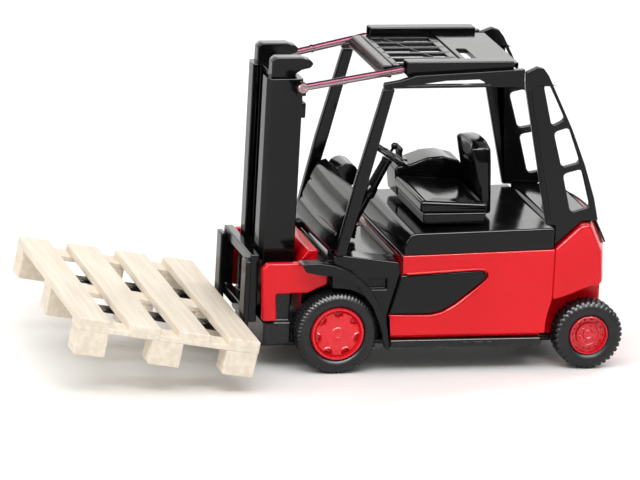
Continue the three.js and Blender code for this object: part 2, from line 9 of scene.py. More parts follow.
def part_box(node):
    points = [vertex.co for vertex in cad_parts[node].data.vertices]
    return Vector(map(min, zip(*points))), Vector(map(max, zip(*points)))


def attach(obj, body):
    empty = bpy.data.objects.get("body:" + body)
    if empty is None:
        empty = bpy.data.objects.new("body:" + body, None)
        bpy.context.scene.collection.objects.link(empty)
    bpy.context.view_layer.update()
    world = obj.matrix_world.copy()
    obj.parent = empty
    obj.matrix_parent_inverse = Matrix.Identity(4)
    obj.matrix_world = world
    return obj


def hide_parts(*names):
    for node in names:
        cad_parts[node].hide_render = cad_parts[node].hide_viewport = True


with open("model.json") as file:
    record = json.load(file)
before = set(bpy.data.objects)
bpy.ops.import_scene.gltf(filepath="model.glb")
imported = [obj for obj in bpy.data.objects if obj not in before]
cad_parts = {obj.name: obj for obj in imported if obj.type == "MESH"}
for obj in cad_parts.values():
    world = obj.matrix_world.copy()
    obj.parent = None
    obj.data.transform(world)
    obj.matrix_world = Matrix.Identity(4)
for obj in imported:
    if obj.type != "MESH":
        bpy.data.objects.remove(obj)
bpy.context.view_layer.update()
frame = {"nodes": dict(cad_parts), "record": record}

# A die-cast style toy forklift with a pallet on its forks.
# Meshes are drawn in millimetres in the row frame and scaled to metres when they are published.
MM = 0.001
RECORD = frame["record"]
BODY_OF = {node: body for body, nodes in RECORD["behaviour"]["bodies"].items() for node in nodes}
SLOT_OF = {part["node"]: part["material_slot"] for part in RECORD["subparts"]}
SIDES = {"left": 1, "right": -1}


def box_mm(node):
    """Lowest and highest corner of a CAD node, in millimetres."""
    low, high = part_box(node)
    return low / MM, high / MM


# ---- camera, lights and floor -------------------------------------------------------------
FRONT_TYRE = box_mm("front_tyre_left")
ORIGIN_X = (FRONT_TYRE[0].x + FRONT_TYRE[1].x) / 2 - 36.1  # where the drawing's own zero lies


def aim_camera():
    """A long lens, a little above and ahead of the left side, with the slight roll of the shot."""
    turn, lift, roll = (math.radians(a) for a in (15.165, 15.305, 3.2))
    distance, aside, above, lens = 876.19, -34.201, 14.981, 345.97
    back = Vector((math.sin(turn) * math.cos(lift), math.cos(turn) * math.cos(lift), math.sin(lift)))
    level = Vector((-math.cos(turn), math.sin(turn), 0))
    upright = Vector((-math.sin(turn) * math.sin(lift), -math.cos(turn) * math.sin(lift), math.cos(lift)))
    right = math.cos(roll) * level + math.sin(roll) * upright
    up = -math.sin(roll) * level + math.cos(roll) * upright
    camera = bpy.data.objects.new("camera", bpy.data.cameras.new("camera"))
    bpy.context.scene.collection.objects.link(camera)
    camera.data.lens = lens
    camera.data.clip_start, camera.data.clip_end = 0.01, 20
    place = Matrix((right, up, back)).transposed().to_4x4()
    place.translation = (back * distance + right * aside + up * above + Vector((ORIGIN_X, 0, 0))) * MM
    camera.matrix_world = place
    bpy.context.scene.camera = camera


def soft_light(name, position, target, width, height, power, gloss_only=False):
    """A rectangular soft box; one for gloss only shows in reflections and adds no other light."""
    data = bpy.data.lights.new(name, "AREA")
    data.shape = "RECTANGLE"
    data.size, data.size_y = width, height
    data.energy = power
    light = bpy.data.objects.new(name, data)
    bpy.context.scene.collection.objects.link(light)
    light.location = position
    light.visible_diffuse = not gloss_only
    light.visible_camera = not gloss_only
    light.rotation_euler = (Vector(target) - Vector(position)).to_track_quat("-Z", "Y").to_euler()


def light_world():
    """Bright overhead and behind the object, dim on the side that it is seen from."""
    world = bpy.data.worlds.new("studio")
    bpy.context.scene.world = world
    world.use_nodes = True
    tree = world.node_tree
    tree.nodes.clear()
    place = tree.nodes.new("ShaderNodeTexCoord")
    split = tree.nodes.new("ShaderNodeSeparateXYZ")
    behind = tree.nodes.new("ShaderNodeMath")
    behind.operation = "MULTIPLY"
    behind.inputs[1].default_value = -1.15
    brighter = tree.nodes.new("ShaderNodeMath")
    brighter.operation = "MAXIMUM"
    ramp = tree.nodes.new("ShaderNodeValToRGB")
    back = tree.nodes.new("ShaderNodeBackground")
    out = tree.nodes.new("ShaderNodeOutputWorld")
    ramp.color_ramp.elements[0].position = 0.05
    ramp.color_ramp.elements[0].color = (0.11, 0.11, 0.12, 1)
    ramp.color_ramp.elements[1].position = 0.8
    ramp.color_ramp.elements[1].color = (1.0, 0.985, 0.955, 1)
    back.inputs["Strength"].default_value = 0.78
    tree.links.new(place.outputs["Generated"], split.inputs[0])
    tree.links.new(split.outputs["Y"], behind.inputs[0])
    tree.links.new(behind.outputs[0], brighter.inputs[0])
    tree.links.new(split.outputs["Z"], brighter.inputs[1])
    tree.links.new(brighter.outputs[0], ramp.inputs[0])
    tree.links.new(ramp.outputs[0], back.inputs["Color"])
    tree.links.new(back.outputs[0], out.inputs["Surface"])


# ---- materials ----------------------------------------------------------------------------
def noise_node(tree, coordinates, scale, detail=3.0, stretch=None):
    texture = tree.nodes.new("ShaderNodeTexNoise")
    texture.inputs["Scale"].default_value = scale
    texture.inputs["Detail"].default_value = detail
    source = coordinates
    if stretch:
        mapping = tree.nodes.new("ShaderNodeMapping")
        mapping.inputs["Scale"].default_value = stretch
        tree.links.new(coordinates, mapping.inputs["Vector"])
        source = mapping.outputs["Vector"]
    tree.links.new(source, texture.inputs["Vector"])
    return texture.outputs["Fac"]


def ramp_node(tree, source, stops):
    ramp = tree.nodes.new("ShaderNodeValToRGB")
    elements = ramp.color_ramp.elements
    while len(elements) < len(stops):
        elements.new(0.5)
    for element, (position, colour) in zip(elements, stops):
        element.position = position
        element.color = (*colour, 1)
    tree.links.new(source, ramp.inputs[0])
    return ramp.outputs[0]


def grey(value):
    return (value, value, value)


def finish_material(name, colour, shade, roughness, bumps, mottling=60, stretch=None, top=None, **fixed):
    """A principled material: mottled colour, uneven roughness and layered bumps.

    shade is the darker colour of the mottling, roughness its (lowest, highest), and bumps a
    list of (scale, depth in mm, stretch). A top colour is painted on what faces upwards, as a painted dark
    reflection.
    """
    material = bpy.data.materials.new(name)
    material.use_nodes = True
    tree = material.node_tree
    shader = tree.nodes["Principled BSDF"]
    place = tree.nodes.new("ShaderNodeTexCoord").outputs["Object"]
    patches = noise_node(tree, place, mottling, 4, stretch)
    base = ramp_node(tree, patches, [(0.35, shade), (0.65, colour)])
    # Upward faces take the top colour: a painted dark reflection, not the material's own colour.
    if top:
        split = tree.nodes.new("ShaderNodeSeparateXYZ")
        tree.links.new(tree.nodes.new("ShaderNodeTexCoord").outputs["Normal"], split.inputs[0])
        mix = tree.nodes.new("ShaderNodeMix")
        mix.data_type = "RGBA"
        painted_dark_top = ramp_node(tree, split.outputs["Z"], [(0.25, grey(0)), (0.5, grey(1))])
        tree.links.new(painted_dark_top, mix.inputs["Factor"])
        tree.links.new(base, mix.inputs["A"])
        mix.inputs["B"].default_value = (*top, 1)
        base = mix.outputs["Result"]
    tree.links.new(base, shader.inputs["Base Color"])
    smears = noise_node(tree, place, 260, 5)
    low, high = roughness
    gloss = ramp_node(tree, smears, [(0.3, grey(low)), (0.7, grey(high))])
    tree.links.new(gloss, shader.inputs["Roughness"])
    normal = None
    for scale, depth, pull in bumps:
        bump = tree.nodes.new("ShaderNodeBump")
        bump.inputs["Strength"].default_value = 1.0
        bump.inputs["Distance"].default_value = depth * MM
        tree.links.new(noise_node(tree, place, scale, 3, pull), bump.inputs["Height"])
        if normal:
            tree.links.new(normal, bump.inputs["Normal"])
        normal = bump.outputs["Normal"]
    tree.links.new(normal, shader.inputs["Normal"])
    for socket, value in fixed.items():
        shader.inputs[socket.replace("_", " ")].default_value = value
    return material


ORANGE_PEEL = (900, 0.004, None)
MOULD_TEXTURE = (5200, 0.002, None)
MATERIALS = {
    "red_paint": finish_material(
        "red_paint", (0.74, 0.004, 0.012), (0.66, 0.003, 0.009), (0.16, 0.24),
        [ORANGE_PEEL, MOULD_TEXTURE], Specular_IOR_Level=0.24,
    ),
    "black_gloss": finish_material(
        "black_gloss", (0.0048, 0.0046, 0.0052), (0.0028, 0.0027, 0.0031), (0.09, 0.17),
        [ORANGE_PEEL, MOULD_TEXTURE], Specular_IOR_Level=0.21,
    ),
    "chassis_plastic": finish_material(
        "chassis_plastic", (0.009, 0.009, 0.0095), (0.005, 0.005, 0.0055), (0.20, 0.32),
        [ORANGE_PEEL, MOULD_TEXTURE], Specular_IOR_Level=0.28,
    ),
    "rim_plastic": finish_material(
        "rim_plastic", (0.74, 0.010, 0.020), (0.62, 0.006, 0.013), (0.22, 0.32),
        [ORANGE_PEEL, MOULD_TEXTURE], Specular_IOR_Level=0.40,
    ),
    "tyre": finish_material(
        "tyre", (0.008, 0.0085, 0.010), (0.005, 0.005, 0.0065), (0.32, 0.46),
        [(1400, 0.010, None), (6000, 0.005, None)], Specular_IOR_Level=0.30,
    ),
    "steel": finish_material(
        "steel", (0.62, 0.62, 0.63), (0.52, 0.52, 0.54), (0.22, 0.36),
        [(4000, 0.003, (0.1, 1, 1))], Metallic=1.0,
    ),
    # The rod's upper side is painted dark maroon as a painted reflection; the metal's pinkish silver shows
    # below it.
    "rod_metal": finish_material(
        "rod_metal", (0.36, 0.27, 0.275), (0.30, 0.22, 0.23), (0.16, 0.28),
        [(3800, 0.003, (0.08, 1, 1))], mottling=400, stretch=(0.2, 1, 1), top=(0.045, 0.008, 0.018),
        Metallic=0.9,
    ),
    "pallet_plastic": finish_material(
        "pallet_plastic", (0.80, 0.715, 0.60), (0.70, 0.61, 0.49), (0.50, 0.66),
        [(2600, 0.03, (1, 0.045, 1)), (700, 0.02, (1, 0.1, 1)), MOULD_TEXTURE],
        mottling=1500, stretch=(1, 0.05, 1), Specular_IOR_Level=0.35,
    ),
}
FLOOR = finish_material(
    "floor_paper", (0.88, 0.88, 0.875), (0.865, 0.865, 0.86), (0.6, 0.7), [(500, 0.01, None)], mottling=4,
)


# ---- mesh helpers -------------------------------------------------------------------------
def publish(bm, name, *nodes, body=None, slot=None, smooth=38, material=None):
    """Turn a mesh in millimetres into a piece that rides on its body and stands for CAD nodes."""
    bmesh.ops.recalc_face_normals(bm, faces=bm.faces)
    mesh = bpy.data.meshes.new(name)
    bm.to_mesh(mesh)
    bm.free()
    mesh.transform(Matrix.Scale(MM, 4))
    mesh.polygons.foreach_set("use_smooth", [True] * len(mesh.polygons))
    mesh.set_sharp_from_angle(angle=math.radians(smooth))
    slot = slot or SLOT_OF[nodes[0]]
    mesh.materials.append(material or MATERIALS[slot])
    piece = bpy.data.objects.new(name, mesh)
    bpy.context.scene.collection.objects.link(piece)
    even = piece.modifiers.new("even_shading", "WEIGHTED_NORMAL")
    even.keep_sharp = True
    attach(piece, body or BODY_OF[nodes[0]])
    if nodes:
        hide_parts(*nodes)
    return piece


def cad_copy(node):
    """The CAD node's solid in millimetres, with its flat faces whole again."""
    bm = bmesh.new()
    bm.from_mesh(frame["nodes"][node].data)
    bmesh.ops.scale(bm, vec=Vector((1, 1, 1)) / MM, verts=bm.verts)
    bmesh.ops.remove_doubles(bm, verts=bm.verts, dist=0.002)
    bmesh.ops.dissolve_limit(bm, angle_limit=math.radians(1), verts=bm.verts, edges=bm.edges)
    return bm


def round_edges(bm, width, segments=3, angle=40, clamp=False):
    sharp = [e for e in bm.edges if len(e.link_faces) == 2 and e.calc_face_angle(0) > math.radians(angle)]
    bmesh.ops.bevel(
        bm, geom=sharp, offset=width, offset_type="OFFSET", segments=segments,
        profile=0.5, affect="EDGES", clamp_overlap=clamp,
    )


def surface_grid(bm, rows, closed_rows=True, closed_columns=True):
    """Faces between rows of points; each row is one ring of the surface."""
    rings = [[bm.verts.new(p) for p in row] for row in rows]
    count = len(rings[0])
    pairs = list(zip(rings, rings[1:] + rings[:1])) if closed_rows else list(zip(rings, rings[1:]))
    for near, far in pairs:
        for i in range(count if closed_columns else count - 1):
            j = (i + 1) % count
            bm.faces.new((near[i], near[j], far[j], far[i]))
    return rings


def turned(bm, frame_axes, profile, segments=32):
    """A solid turned about an axis: profile is [(radius, distance along the axis)], ends capped."""
    origin, along, across, third = frame_axes
    rows = []
    for radius, distance in profile:
        centre = origin + along * distance
        rows.append([
            centre + (across * math.cos(a) + third * math.sin(a)) * radius
            for a in (2 * math.pi * i / segments for i in range(segments))
        ])
    rings = surface_grid(bm, rows, closed_rows=False)
    bm.faces.new(rings[0])
    bm.faces.new(rings[-1])


def axes_between(start, end):
    along = (end - start).normalized()
    across = along.orthogonal().normalized()
    return start, along, across, along.cross(across)


def lattice(low, high, radius, spacing):
    """Sample positions along one side of a block, closer together where its edges are round."""
    inner = max(high - low - 2 * radius, 1e-6)
    count = max(1, round(inner / spacing))
    middle = [low + radius + inner * i / count for i in range(count + 1)]
    return [low, low + 0.3 * radius, *middle, high - 0.3 * radius, high]


def rounded_block(bm, low, high, radius, spacing=1.0, shape=None):
    """A block with round edges and corners; shape may move each of its points."""
    low, high = Vector(low), Vector(high)
    samples = [lattice(low[k], high[k], radius, spacing) for k in range(3)]
    inner_low = low + Vector((radius,) * 3)
    inner_high = high - Vector((radius,) * 3)
    made = {}

    def vertex(key):
        if key not in made:
            point = Vector(samples[k][key[k]] for k in range(3))
            core = Vector(min(max(point[k], inner_low[k]), inner_high[k]) for k in range(3))
            point = core + (point - core).normalized() * radius
            made[key] = bm.verts.new(shape(point) if shape else point)
        return made[key]

    for axis in range(3):
        u, v = [k for k in range(3) if k != axis]
        for end in (0, len(samples[axis]) - 1):
            for i in range(len(samples[u]) - 1):
                for j in range(len(samples[v]) - 1):
                    corners = []
                    for di, dj in ((0, 0), (1, 0), (1, 1), (0, 1)):
                        key = [0, 0, 0]
                        key[axis], key[u], key[v] = end, i + di, j + dj
                        corners.append(vertex(tuple(key)))
                    bm.faces.new(corners)


def step(value, edge, softness):
    """0 below the edge, 1 above it, with a soft passage."""
    t = min(max((value - edge) / softness + 0.5, 0), 1)
    return t * t * (3 - 2 * t)


def moulded(node, width, clamp=False):
    """The CAD solid with the rounded edges that a casting or moulding has."""
    bm = cad_copy(node)
    round_edges(bm, width, clamp=clamp)
    return publish(bm, f"{node}_surface", node)


def both_sides(name):
    return [f"{name}_{side}" for side in SIDES]


# ---- castings and mouldings ---------------------------------------------------------------
EDGE_RADIUS = {
    0.45: ["counterweight", "armrest"],
    0.32: ["base_plate", "deck", "seat_base"],
    0.3: [*both_sides("side_panel"), *both_sides("front_bracket")],
    0.25: ["body_shell"],
    0.2: [
        "chassis_box", *both_sides("step_side"), "cab_floor",
        *both_sides("front_pillar"), "roof_front_beam", *both_sides("inner_mast"), "mast_foot",
        "mast_crosshead", "fork_carriage", *both_sides("fork_tine"), *both_sides("rear_corner"),
        "instrument_console", *both_sides("rod_barrel"),
    ],
    0.12: [
        *both_sides("fender"), *both_sides("roof_side_beam"), "roof_rear", "inner_mast_tie",
    ],
}


def make_castings():
    for width, nodes in EDGE_RADIUS.items():
        for node in nodes:
            moulded(node, width)
    moulded("front_bulkhead", 0.25, clamp=True)


def make_tail_cover():
    """The cover on the sloping tail, with a flange behind it, towards the casting."""
    bm = cad_copy("tail_cover")
    round_edges(bm, 0.1)
    flange = bmesh.ops.duplicate(bm, geom=bm.verts[:] + bm.edges[:] + bm.faces[:])["geom"]
    moved = [part for part in flange if isinstance(part, bmesh.types.BMVert)]
    flange_offset = (0.32, 0, -0.12)
    bmesh.ops.translate(bm, verts=moved, vec=flange_offset)
    publish(bm, "tail_cover_moulding", "tail_cover")


def mask_shell_front():
    """The shell's front edges and footwell wall are black, like the parts that meet them."""
    shell = bpy.data.objects["body_shell_surface"].data
    shell.materials.append(MATERIALS["black_gloss"])
    for face in shell.polygons:
        faces_forwards = face.normal.x > 0.6
        if faces_forwards:
            face.material_index = 1


def make_mast_columns():
    """Outer mast channels: an open section with soft corners, and the ear for the tilt rod."""
    for side, sign in SIDES.items():
        low, high = box_mm(f"mast_column_{side}")
        rear, front, bottom, top = low.x, high.x, low.z, high.z
        inner, outer = 2.84, 5.96
        rear_wall, front_wall, web, radius, end_inset = 0.8, 0.75, 0.45, 0.16, 0.14
        corners = [
            (rear, inner),
            (rear + rear_wall, inner),
            (rear + rear_wall, outer - web),
            (front - front_wall, outer - web),
            (front - front_wall, inner),
            (front, inner),
            (front, outer - 0.75),
            (front - 0.6, outer),
            (rear, outer),
        ]
        section = []
        for i, here in enumerate(corners):
            here = Vector(here)
            before, after = Vector(corners[i - 1]), Vector(corners[(i + 1) % len(corners)])
            start = here + (before - here).normalized() * radius
            end = here + (after - here).normalized() * radius
            for t in (0, 0.33, 0.67, 1):
                section.append(start.lerp(here, t).lerp(here.lerp(end, t), t))
        levels = [(bottom, end_inset), (bottom + end_inset, 0)]
        levels += [(bottom + end_inset + (top - bottom - 2 * end_inset) * k / 6, 0) for k in range(1, 7)]
        levels += [(top - 0.04, 0.04), (top, end_inset)]
        web_middle = outer - 0.22
        rows = []
        for z, inset in levels:
            row = []
            for point in section:
                y = point.y - (inset if point.y > web_middle else -inset)
                row.append(Vector((point.x, sign * y, z)))
            rows.append(row)
        bm = bmesh.new()
        rings = surface_grid(bm, rows, closed_rows=False)
        bm.faces.new(rings[0])
        bm.faces.new(rings[-1])
        near, far = sorted((sign * 5.7, sign * 8.0))
        rounded_block(bm, (rear + 0.06, near, 39.0), (rear + 1.3, far, 39.88), 0.15, 0.6)
        ear = Vector((ORIGIN_X + 42.2, sign * 7.1, 40.2))
        ear_axes = (ear, Vector((0, sign, 0)), Vector((1, 0, 0)), Vector((0, 0, 1)))
        turned(bm, ear_axes, [(0.6, 0), (0.75, 0.12), (0.75, 0.78), (0.6, 0.9)], 24)
        publish(bm, f"mast_column_{side}_channel", f"mast_column_{side}", smooth=50)


def make_roof_grid():
    """Six round-edged bars between two ties, with a stiffening strut across them."""
    low, high = box_mm("roof_grid")
    bm = bmesh.new()
    for y in (-7.4, -4.4, -1.4, 1.6, 4.6, 7.6):
        rounded_block(bm, (low.x + 0.1, y - 0.38, low.z), (high.x - 0.1, y + 0.38, high.z), 0.2, 1.5)
    rounded_block(bm, low, (low.x + 1.2, high.y, high.z), 0.15, 1.5)
    rounded_block(bm, (high.x - 0.95, low.y, low.z), high, 0.15, 1.5)
    middle = (low.z + high.z) / 2
    start, end = Vector((ORIGIN_X + 27.0, -7.4, middle)), Vector((ORIGIN_X + 22.4, 4.6, middle))
    reach = (end - start).length
    turned(bm, axes_between(start, end), [(0.2, 0), (0.28, 0.1), (0.28, reach - 0.1), (0.2, reach)], 14)
    publish(bm, "roof_grid_bars", "roof_grid", smooth=50)


def bead(name, path, radius, height, level_axis, slot):
    """A half-round raised line along an open path on a side face; it rides on the chassis."""
    bm = bmesh.new()
    rows = []
    for i, here in enumerate(path):
        run = (path[min(i + 1, len(path) - 1)] - path[max(i - 1, 0)]).normalized()
        out = run.cross(level_axis).normalized()
        rows.append([
            here + out * (radius * math.cos(a)) + level_axis * (height * math.sin(a))
            for a in (2 * math.pi * k / 10 for k in range(10))
        ])
    rings = surface_grid(bm, rows, closed_rows=False)
    bm.faces.new(rings[0])
    bm.faces.new(rings[-1])
    publish(bm, name, body="chassis", slot=slot, smooth=60)


def panel_lips():
    """The thin raised bead of the red shell round each black side panel, open at its front."""
    for side, sign in SIDES.items():
        bm = cad_copy(f"side_panel_{side}")
        face = max(bm.faces, key=lambda f: f.normal.y * sign * f.calc_area())
        outline = [v.co.copy() for v in face.verts]
        bm.free()
        centre = sum(outline, Vector()) / len(outline)
        level = box_mm("body_shell")[1].y * sign
        front = [p.x > ORIGIN_X + 27.3 for p in outline]
        count = len(outline)
        first = next(i for i in range(count) if front[i] and not front[(i + 1) % count])
        ordered = [outline[(first + k) % count] for k in range(count)]
        path = []
        for a, b in zip(ordered, ordered[1:]):
            for share in (0.1, 0.9):
                point = a.lerp(b, share)
                away = Vector((point.x - centre.x, 0, point.z - centre.z)).normalized()
                path.append(Vector((point.x, level, point.z)) + away * 0.42)
        bead(f"panel_lip_{side}", path, 0.14, 0.1, Vector((0, sign, 0)), "red_paint")


def post_ribs():
    """Two fine ribs along the front edge of each rear corner, where the door would close."""
    for side, sign in SIDES.items():
        for number, inset in enumerate((0.28, 0.78)):
            path = []
            for k in range(9):
                t = k / 8
                x, z = 11.1 - 4.2 * t - inset, 40.4 - 18.6 * t
                y = 12.1 + 0.13 * (x - 10)
                path.append(Vector((ORIGIN_X + x, sign * y, z)))
            bead(f"post_rib_{side}_{number + 1}", path, 0.13, 0.12, Vector((0, sign, 0)), "black_gloss")


def sill_lugs():
    """Small moulded lugs on the sill, below the doorway's rear end."""
    for side, sign in SIDES.items():
        bm = bmesh.new()
        for x0, x1 in ((13.7, 14.6), (15.2, 16.6), (17.2, 18.1)):
            near, far = sorted((sign * 11.8, sign * 12.14))
            low, high = (ORIGIN_X + x0, near, 3.75), (ORIGIN_X + x1, far, 4.45)
            rounded_block(bm, low, high, 0.1, 0.4)
        publish(bm, f"sill_lugs_{side}", body="chassis", slot="chassis_plastic", smooth=50)


def step_studs():
    """Rows of small anti-slip studs on the tread of each step."""
    for side, sign in SIDES.items():
        bm = bmesh.new()
        rear = box_mm(f"step_side_{side}")[0].x
        for i in range(7):
            for j in range(2):
                x = rear + 1.2 + 0.42 * i
                y = sign * (10.72 + 0.34 * j)
                rounded_block(bm, (x - 0.11, y - 0.11, 11.95), (x + 0.11, y + 0.11, 12.16), 0.07, 0.2)
        publish(bm, f"step_studs_{side}", body="chassis", slot="black_gloss")


def make_hood():
    """Three bowed bands across the front, with a ridge line between each two."""
    low, high = box_mm("hood")
    foot = Vector((high.x, low.z + 0.05))
    brow = Vector((high.x - 3.05, high.z - 0.25))
    rise = brow - foot
    outward = Vector((rise.y, -rise.x)).normalized()
    bands, bow, groove, per_band = 3, 0.2, 0.34, 9
    front = []
    for band in range(bands):
        for k in range(per_band + (band == bands - 1)):
            t = k / per_band
            bulge = bow * (1 - (2 * t - 1) ** 4)
            sag = 0.55 * math.sin(math.pi * (band + t) / bands)
            point = foot + rise * (band + t) / bands + outward * (bulge - groove + sag * 0.25)
            front.append(point)
    back = [
        Vector((high.x - 4.3, high.z)),
        Vector((low.x, high.z - 1.2)),
        Vector((low.x + 1.0, high.z - 4.9)),
        Vector((low.x + 2.3, low.z)),
    ]
    outline = front + back
    half, rounding = high.y, 0.4
    centre = sum(outline, Vector((0, 0))) / len(outline)
    bm = bmesh.new()
    rows = []
    for y, inset in ((-1, 1), (-1, 0.35), (-1 + 0.012, 0.1), (-1 + 0.04, 0), (0, 0), (1 - 0.04, 0),
                     (1 - 0.012, 0.1), (1, 0.35), (1, 1)):
        crown = 0.25 * (1 - y * y)
        row = []
        for point in outline:
            inward = (centre - point).normalized() * rounding * inset
            row.append(Vector((point.x + inward.x - 0.25 + crown, y * half, point.y + inward.y)))
        rows.append(row)
    rings = surface_grid(bm, rows, closed_rows=False)
    bm.faces.new(rings[0])
    bm.faces.new(rings[-1])
    publish(bm, "hood_bands", "hood", smooth=30)


def make_seat():
    """A cushion with a raised welt round it, and a back with side bolsters."""
    low, high = box_mm("seat_cushion")
    middle = (low + high) / 2

    def cushion(p):
        top = step(p.z, middle.z, 0.4)
        rearward = (high.x - p.x) / (high.x - low.x)
        edge = min(p.x - low.x, high.x - p.x, p.y - low.y, high.y - p.y)
        welt = math.exp(-(((edge - 0.45) / 0.22) ** 2))
        lift = -0.16 - 0.5 * rearward + 0.16 * welt + 0.12 * step(edge, 1.8, 2.0)
        return Vector((p.x, p.y, p.z + top * lift))

    bm = bmesh.new()
    rounded_block(bm, low, high, 0.4, 0.2, cushion)
    publish(bm, "seat_cushion_moulding", "seat_cushion", smooth=60)

    low_back, high_back = box_mm("seat_back")
    centre_y = (low_back.y + high_back.y) / 2
    half = (high_back.y - low_back.y) / 2
    thickness = 1.7

    def back(p):
        height = (p.z - low_back.z) / (high_back.z - low_back.z)
        depth = (p.x - low_back.x) / thickness
        side = abs(p.y - centre_y) / half
        rear = low_back.x + 0.5 * height
        front = low_back.x + thickness + 1.75 * height ** 1.2
        wing = 0.3 * step(side, 0.72, 0.3) - 0.3
        channels = sum(math.exp(-((height - h) / 0.022) ** 2) for h in (0.45, 0.68))
        face = front + wing - 0.16 * channels * (1 - step(side, 0.7, 0.1))
        narrow = 1 - 0.10 * step(height, 0.9, 0.35) * side
        arch = -0.9 * side ** 3 * step(height, 0.8, 0.6)
        return Vector((rear + (face - rear) * depth, centre_y + (p.y - centre_y) * narrow, p.z + arch))

    bm = bmesh.new()
    top = (low_back.x + thickness, high_back.y, high_back.z)
    rounded_block(bm, low_back, top, 0.55, 0.22, back)
    publish(bm, "seat_back_moulding", "seat_back", smooth=60)


def make_column():
    """The steering column: a tube with a collar, in a folded rubber boot."""
    start, end = Vector((ORIGIN_X + 32.6, 0, 17.0)), Vector((ORIGIN_X + 27.1, 0, 27.85))
    reach = (end - start).length
    boot = [(1.45 - 0.08 * k + 0.13 * (k % 2), 0.24 * k) for k in range(8)]
    tube = [
        (0.72, 1.9), (0.72, 6.0), (0.95, 6.15), (1.0, 6.5), (0.95, 7.6), (0.78, 7.8), (0.7, reach - 0.5),
        (0.8, reach - 0.35), (0.8, reach - 0.05), (0.6, reach),
    ]
    bm = bmesh.new()
    turned(bm, axes_between(start, end), [(0.6, 0), *boot, *tube], 28)
    publish(bm, "steering_column_moulding", "steering_column", smooth=45)


WHEEL_CENTRE = Vector((ORIGIN_X + 26.7, 0, 28.3))
WHEEL_TILT = math.radians(31)
WHEEL_RADIUS = 2.6


def make_steering_wheel():
    tilt = Matrix.Rotation(-WHEEL_TILT, 4, "Y")
    bm = bmesh.new()
    rows = []
    for i in range(48):
        a = 2 * math.pi * i / 48
        out = Vector((math.cos(a), math.sin(a), 0))
        grip = 0.33 + 0.03 * math.cos(12 * a)
        rows.append([
            out * (WHEEL_RADIUS + grip * math.cos(b)) + Vector((0, 0, grip * math.sin(b)))
            for b in (2 * math.pi * k / 12 for k in range(12))
        ])
    surface_grid(bm, rows)
    z = Vector((0, 0, 1))
    hub_axes = (Vector((0, 0, -0.45)), z, Vector((1, 0, 0)), Vector((0, 1, 0)))
    turned(bm, hub_axes, [(0.5, 0), (0.8, 0.08), (0.85, 0.4), (0.75, 0.75), (0.45, 0.9), (0.1, 0.93)], 24)
    for degrees in (90, 210, 330):
        a = math.radians(degrees)
        out = Vector((math.cos(a), math.sin(a), 0))
        side = z.cross(out)
        axes = (out * 0.5 - z * 0.12, (out * 2.0 + z * 0.12).normalized(), side, z * 0.55)
        turned(bm, axes, [(0.2, 0), (0.34, 0.05), (0.3, 1.0), (0.36, 1.95), (0.2, 2.0)], 12)
    knob = math.radians(-105)
    foot = Vector((math.cos(knob), math.sin(knob), 0)) * WHEEL_RADIUS
    knob_axes = (foot, z, Vector((1, 0, 0)), Vector((0, 1, 0)))
    ball = [(0.5 * math.sin(t), 1.2 - 0.5 * math.cos(t)) for t in (math.pi * k / 10 for k in range(3, 10))]
    turned(bm, knob_axes, [(0.24, 0.1), (0.2, 0.5), (0.22, 0.75), *ball, (0.03, 1.7)], 20)
    bmesh.ops.transform(bm, matrix=Matrix.Translation(WHEEL_CENTRE) @ tilt, verts=bm.verts)
    publish(bm, "steering_wheel_moulding", "steering_wheel", smooth=50)


def make_levers():
    low, high = box_mm("lever_block")
    bm = bmesh.new()
    rounded_block(bm, (low.x, low.y, low.z), (high.x, high.y, low.z + 0.35), 0.12, 0.5)
    for y in (-8.9, -7.8, -6.7):
        start = Vector((ORIGIN_X + 23.2, y, low.z + 0.25))
        end = Vector((ORIGIN_X + 23.5, y, high.z))
        reach = (end - start).length
        knob = 0.42
        ball = [
            (knob * math.sin(t), reach - knob - knob * math.cos(t))
            for t in (math.pi * k / 9 for k in range(2, 9))
        ]
        gaiter = [(0.36, 0.0), (0.3, 0.12), (0.33, 0.2), (0.25, 0.32), (0.17, 0.45)]
        turned(bm, axes_between(start, end), [*gaiter, *ball, (0.04, reach)], 16)
    publish(bm, "control_levers", "lever_block", smooth=50)


def make_tilt_rods():
    """A bright rod with a crimped ferrule, in a round eye at the mast."""
    for side, sign in SIDES.items():
        pin = Vector((ORIGIN_X + 42.2, sign * 8.6, 40.4))
        tip = Vector((ORIGIN_X + 26.6, sign * 10.1, 43.5))
        reach = (tip - pin).length
        radius = 0.5
        profile = [(radius, 0.3), (radius, 5.0), (radius, 5.5)]
        profile += [(radius + 0.09 * math.sin(math.pi * k / 6), 5.5 + 0.1 * k) for k in range(7)]
        profile += [(radius, 6.3), (radius, reach - 2.1), (radius - 0.16, reach - 1.7)]
        profile += [(radius - 0.16, reach - 0.25), (radius - 0.22, reach - 0.08), (radius - 0.3, reach)]
        bm = bmesh.new()
        turned(bm, axes_between(pin, tip), profile, 24)
        face = Vector((pin.x, sign * 8.1, pin.z))
        eye_axes = (face, Vector((0, sign, 0)), Vector((1, 0, 0)), Vector((0, 0, 1)))
        eye = [
            (0.2, 0), (0.66, 0), (0.75, 0.1), (0.75, 0.9),
            (0.66, 1.0), (0.35, 1.0), (0.28, 0.93), (0.1, 0.93),
        ]
        turned(bm, eye_axes, eye, 28)
        publish(bm, f"tilt_rod_{side}_metal", f"tilt_rod_{side}", smooth=40)


def make_mast_pin():
    low, high = box_mm("mast_pin")
    middle = (low + high) / 2
    radius, reach = (high.z - low.z) / 2, high.y - low.y
    axes = (Vector((middle.x, low.y, middle.z)), Vector((0, 1, 0)), Vector((1, 0, 0)), Vector((0, 0, 1)))
    bm = bmesh.new()
    chamfer = 0.15
    profile = [
        (radius - chamfer, 0), (radius, chamfer), (radius, reach - chamfer), (radius - chamfer, reach),
    ]
    turned(bm, axes, profile, 32)
    publish(bm, "mast_pin_metal", "mast_pin")


